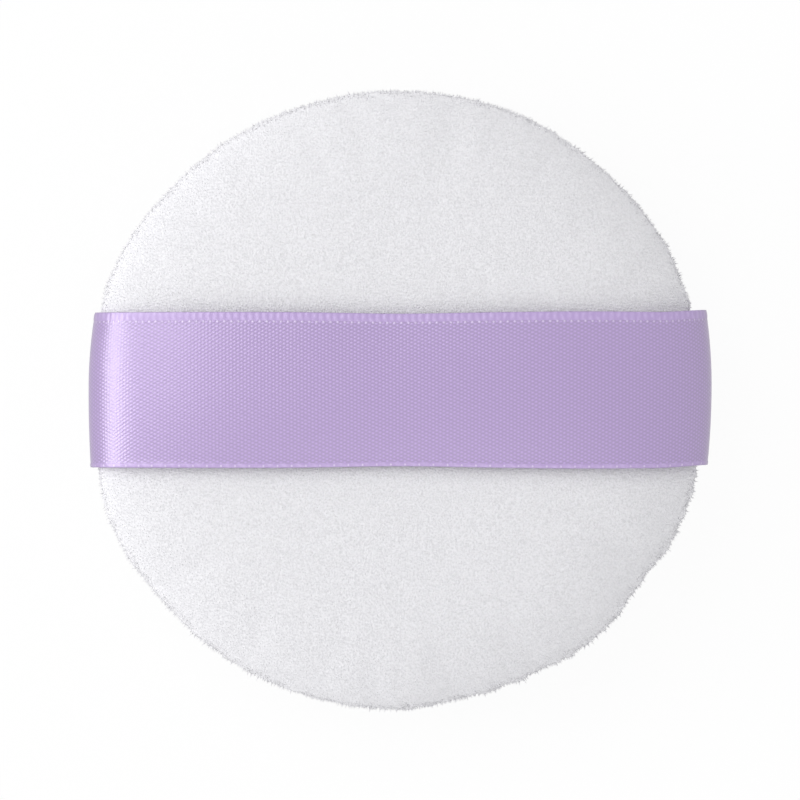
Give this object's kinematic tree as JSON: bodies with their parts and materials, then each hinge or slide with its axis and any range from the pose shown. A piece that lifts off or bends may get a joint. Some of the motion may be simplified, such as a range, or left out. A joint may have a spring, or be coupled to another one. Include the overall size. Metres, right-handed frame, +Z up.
{
  "type": "powder puff",
  "caption": "Round velour powder puff with a foam pad sewn between its two pile covers and a satin finger ribbon held in the rim seam.",
  "frame": {"origin": "on the resting plane under the middle of the puff", "axes": "+Z up through both covers, from the skin side to the ribbon side; +X along the finger ribbon"},
  "size_m": [0.081, 0.08, 0.0197],
  "materials": {
    "velour": "white cut-pile velour, fine dense nap",
    "foam": "cream open-cell polyurethane foam, hidden inside",
    "satin": "lilac single-faced satin ribbon with woven selvedges",
    "thread": "white spun polyester sewing thread"
  },
  "bodies": {
    "puff": {"face_cover": "velour", "back_cover": "velour", "foam_pad": "foam", "seam_needle_thread": "thread", "seam_bobbin_thread": "thread", "closing_thread": "thread"},
    "ribbon": {"finger_ribbon": "satin"}
  },
  "joints": [
    {"name": "ribbon_lift", "type": "slide", "parent": "puff", "child": "ribbon", "axis": [0, 0, 1], "range_m": [0, 0.01], "deforming": ["finger_ribbon"]}
  ]
}
